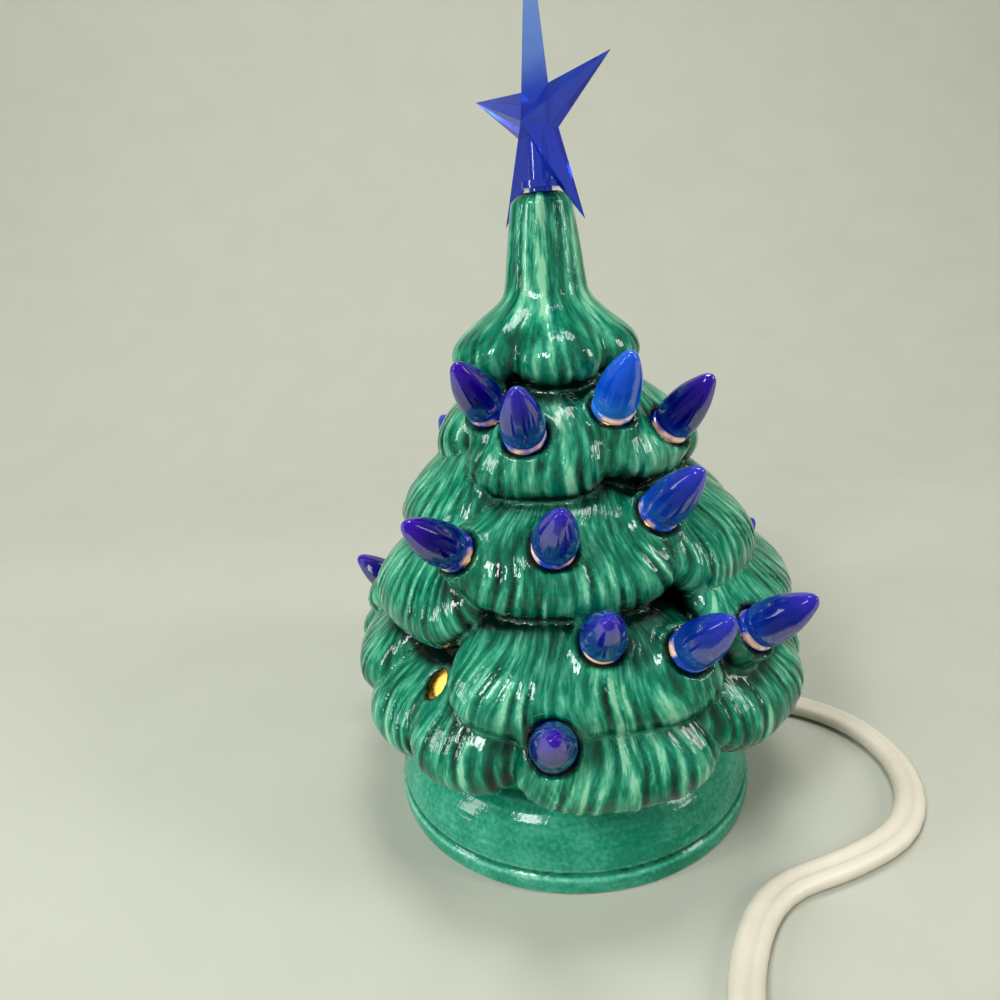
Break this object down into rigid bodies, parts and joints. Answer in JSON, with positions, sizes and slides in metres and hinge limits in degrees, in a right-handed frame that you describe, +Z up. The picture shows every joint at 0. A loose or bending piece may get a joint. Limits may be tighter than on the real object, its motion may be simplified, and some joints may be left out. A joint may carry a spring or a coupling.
{
  "type": "ceramic christmas tree lamp",
  "caption": "Small glazed ceramic Christmas tree with tiers of rounded boughs, blue plastic flame bulbs and a star, lit from inside by a lamp in its separate base on a flex.",
  "frame": {"origin": "centre of the base's foot ring, on the surface that the tree stands on", "axes": "+Z up the trunk, -Y to the front, +X to the right of someone facing the front"},
  "size_m": [0.1128, 0.1771, 0.1342],
  "materials": {
    "green_glaze": "wet-looking gloss glaze, darker where it pools",
    "blue_plastic": "clear moulded plastic, polished",
    "lamp_glass": "clear blown glass",
    "brass": "thin pressed brass",
    "black_insulator": "fired black insulator",
    "solder": "dull soft solder",
    "wire": "drawn wire",
    "white_plastic": "moulded plastic",
    "spring_steel": "spring steel",
    "cord_vinyl": "soft vinyl",
    "tie": "soft plastic strip",
    "plug_plastic": "moulded vinyl"
  },
  "bodies": {
    "base": {"base": "green_glaze", "socket_body": "white_plastic", "socket_shell": "brass", "socket_contact": "brass", "socket_cap": "white_plastic", "socket_clips": "spring_steel", "socket_wires": "cord_vinyl", "cord_run": "cord_vinyl", "cord_coil": "cord_vinyl", "cord_tie": "tie", "plug_body": "plug_plastic", "plug_blades": "brass"},
    "tree": {"tree_front": "green_glaze", "tree_right": "green_glaze", "tree_back": "green_glaze", "tree_left": "green_glaze"},
    "star": {"star_topper": "blue_plastic"},
    "lamp_foot": {"lamp_contact": "solder", "lamp_insulator": "black_insulator"},
    "lamp": {"lamp_glass": "lamp_glass", "lamp_cap": "brass", "lamp_stem": "lamp_glass", "lamp_supports": "wire", "lamp_filament": "wire"},
    "bulb_01": {"bulb_01": "blue_plastic"},
    "bulb_02": {"bulb_02": "blue_plastic"},
    "bulb_03": {"bulb_03": "blue_plastic"},
    "bulb_04": {"bulb_04": "blue_plastic"},
    "bulb_05": {"bulb_05": "blue_plastic"},
    "bulb_06": {"bulb_06": "blue_plastic"},
    "bulb_07": {"bulb_07": "blue_plastic"},
    "bulb_08": {"bulb_08": "blue_plastic"},
    "bulb_09": {"bulb_09": "blue_plastic"},
    "bulb_10": {"bulb_10": "blue_plastic"},
    "bulb_11": {"bulb_11": "blue_plastic"},
    "bulb_12": {"bulb_12": "blue_plastic"},
    "bulb_13": {"bulb_13": "blue_plastic"},
    "bulb_14": {"bulb_14": "blue_plastic"},
    "bulb_15": {"bulb_15": "blue_plastic"},
    "bulb_16": {"bulb_16": "blue_plastic"},
    "bulb_17": {"bulb_17": "blue_plastic"},
    "bulb_18": {"bulb_18": "blue_plastic"},
    "bulb_19": {"bulb_19": "blue_plastic"},
    "bulb_20": {"bulb_20": "blue_plastic"},
    "bulb_21": {"bulb_21": "blue_plastic"},
    "bulb_22": {"bulb_22": "blue_plastic"},
    "bulb_23": {"bulb_23": "blue_plastic"}
  },
  "joints": [
    {"name": "tree_lift", "type": "slide", "parent": "base", "child": "tree", "axis": [0, 0, 1], "range_m": [0, 0.06]},
    {"name": "star_lift", "type": "slide", "parent": "tree", "child": "star", "axis": [0, 0, 1], "range_m": [0, 0.014]},
    {"name": "lamp_rise", "type": "slide", "parent": "base", "child": "lamp_foot", "axis": [0, 0, 1], "range_m": [0, 0.00763]},
    {"name": "lamp_turn", "type": "hinge", "parent": "lamp_foot", "child": "lamp", "pos_m": [0, 0, 0.02], "axis": [0, 0, 1], "range_deg": [0, 1080]},
    {"name": "bulb_01_pull", "type": "slide", "parent": "tree", "child": "bulb_01", "axis": [-0.3536, -0.6124, 0.7071], "range_m": [0, 0.009]},
    {"name": "bulb_02_pull", "type": "slide", "parent": "tree", "child": "bulb_02", "axis": [-0.0949, -0.6754, 0.7314], "range_m": [0, 0.009]},
    {"name": "bulb_03_pull", "type": "slide", "parent": "tree", "child": "bulb_03", "axis": [0.1593, -0.5947, 0.788], "range_m": [0, 0.009]},
    {"name": "bulb_04_pull", "type": "slide", "parent": "tree", "child": "bulb_04", "axis": [0.4301, -0.5126, 0.7431], "range_m": [0, 0.009]},
    {"name": "bulb_05_pull", "type": "slide", "parent": "tree", "child": "bulb_05", "axis": [0.2103, 0.6879, 0.6947], "range_m": [0, 0.009]},
    {"name": "bulb_06_pull", "type": "slide", "parent": "tree", "child": "bulb_06", "axis": [-0.2695, 0.667, 0.6947], "range_m": [0, 0.009]},
    {"name": "bulb_07_pull", "type": "slide", "parent": "tree", "child": "bulb_07", "axis": [-0.5399, -0.559, 0.6293], "range_m": [0, 0.009]},
    {"name": "bulb_08_pull", "type": "slide", "parent": "tree", "child": "bulb_08", "axis": [0.0739, -0.7032, 0.7071], "range_m": [0, 0.009]},
    {"name": "bulb_09_pull", "type": "slide", "parent": "tree", "child": "bulb_09", "axis": [0.4056, -0.5792, 0.7071], "range_m": [0, 0.009]},
    {"name": "bulb_10_pull", "type": "slide", "parent": "tree", "child": "bulb_10", "axis": [0.551, 0.5321, 0.6428], "range_m": [0, 0.009]},
    {"name": "bulb_11_pull", "type": "slide", "parent": "tree", "child": "bulb_11", "axis": [-0.0267, 0.7656, 0.6428], "range_m": [0, 0.009]},
    {"name": "bulb_12_pull", "type": "slide", "parent": "tree", "child": "bulb_12", "axis": [-0.4503, 0.6197, 0.6428], "range_m": [0, 0.009]},
    {"name": "bulb_13_pull", "type": "slide", "parent": "tree", "child": "bulb_13", "axis": [-0.7784, 0.3796, 0.5], "range_m": [0, 0.009]},
    {"name": "bulb_14_pull", "type": "slide", "parent": "tree", "child": "bulb_14", "axis": [-0.013, -0.743, 0.6691], "range_m": [0, 0.009]},
    {"name": "bulb_15_pull", "type": "slide", "parent": "tree", "child": "bulb_15", "axis": [0.3368, -0.6076, 0.7193], "range_m": [0, 0.009]},
    {"name": "bulb_16_pull", "type": "slide", "parent": "tree", "child": "bulb_16", "axis": [0.621, 0.4851, 0.6157], "range_m": [0, 0.009]},
    {"name": "bulb_17_pull", "type": "slide", "parent": "tree", "child": "bulb_17", "axis": [0.1638, 0.7708, 0.6157], "range_m": [0, 0.009]},
    {"name": "bulb_18_pull", "type": "slide", "parent": "tree", "child": "bulb_18", "axis": [-0.3454, 0.7083, 0.6157], "range_m": [0, 0.009]},
    {"name": "bulb_19_pull", "type": "slide", "parent": "tree", "child": "bulb_19", "axis": [-0.013, -0.743, 0.6691], "range_m": [0, 0.009]},
    {"name": "bulb_20_pull", "type": "slide", "parent": "tree", "child": "bulb_20", "axis": [0.552, -0.5147, 0.6561], "range_m": [0, 0.009]},
    {"name": "bulb_21_pull", "type": "slide", "parent": "tree", "child": "bulb_21", "axis": [0.7271, 0.3546, 0.5878], "range_m": [0, 0.009]},
    {"name": "bulb_22_pull", "type": "slide", "parent": "tree", "child": "bulb_22", "axis": [0.1957, 0.785, 0.5878], "range_m": [0, 0.009]},
    {"name": "bulb_23_pull", "type": "slide", "parent": "tree", "child": "bulb_23", "axis": [-0.3546, 0.7271, 0.5878], "range_m": [0, 0.009]}
  ],
  "couplings": [
    {"joint": "lamp_rise", "follows": "lamp_turn", "m_per_rad": 0.00040425}
  ]
}
